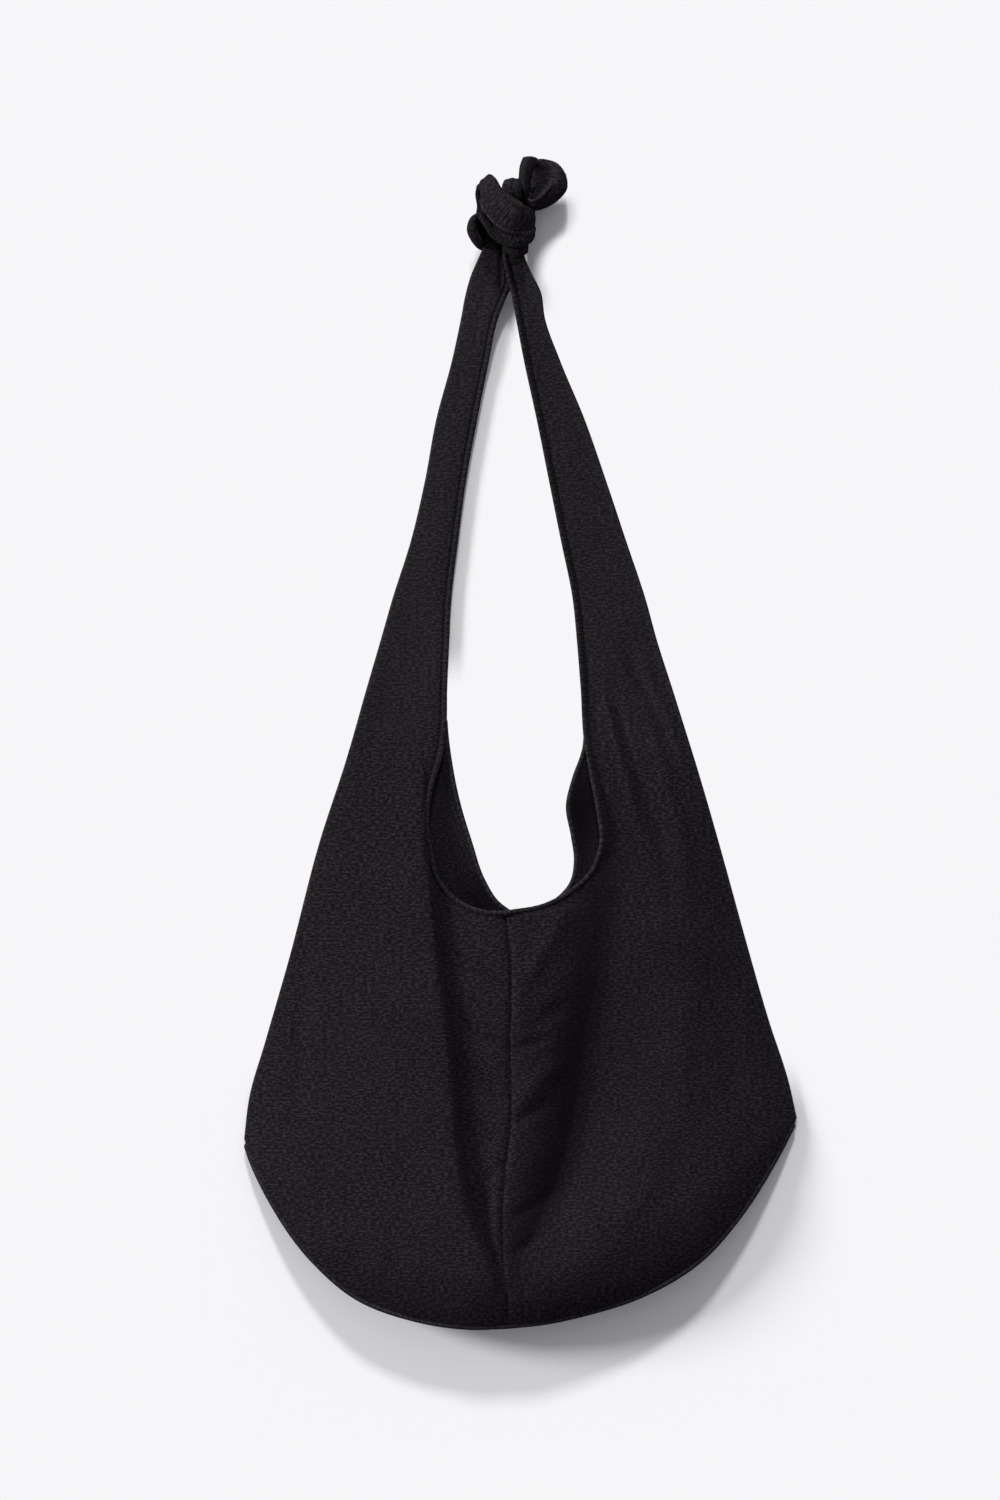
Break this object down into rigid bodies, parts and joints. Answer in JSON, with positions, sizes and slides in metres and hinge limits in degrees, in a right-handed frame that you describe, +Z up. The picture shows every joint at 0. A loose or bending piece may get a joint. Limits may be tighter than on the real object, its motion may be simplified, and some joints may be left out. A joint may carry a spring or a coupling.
{
  "type": "crossbody bag",
  "caption": "Slouchy black canvas crossbody bag: deep scooped mouth, sides folded straight up into the straps, and strap ends tied together in a knot to hang it by.",
  "frame": {"origin": "hang point: the top of the strap loop, where the straps part just below the knot, midway through the straps' thickness", "axes": "+X to the right as seen from the front, +Y towards the back that leans on a wall, +Z up along the hanging straps"},
  "size_m": [0.4483, 0.0653, 0.9402],
  "materials": {
    "canvas": "matte woven cotton canvas, washed black",
    "lining": "matte plain cotton lining, black"
  },
  "bodies": {
    "strap_loop": {"left_strap": "canvas", "right_strap": "canvas", "left_knot_turn": "canvas", "right_knot_turn": "canvas"},
    "bag": {"left_panel": "canvas", "right_panel": "canvas", "left_lining": "lining", "right_lining": "lining", "front_mouth_binding": "canvas", "back_mouth_binding": "canvas", "bottom_welt": "canvas"},
    "short_tail": {"left_strap_tail": "canvas"},
    "long_tail": {"right_strap_tail": "canvas"}
  },
  "joints": [
    {"name": "strap_fold", "type": "hinge", "parent": "strap_loop", "child": "bag", "pos_m": [0, 0, -0.314], "axis": [1, 0, 0], "range_deg": [-85, 85]},
    {"name": "short_tail_bend", "type": "hinge", "parent": "strap_loop", "child": "short_tail", "pos_m": [0.006, 0.008, 0.083], "axis": [0.9806, 0, -0.1961], "range_deg": [-30, 30]},
    {"name": "long_tail_bend", "type": "hinge", "parent": "strap_loop", "child": "long_tail", "pos_m": [0.031, 0.008, 0.074], "axis": [0.7682, 0, -0.6402], "range_deg": [-30, 30]}
  ]
}
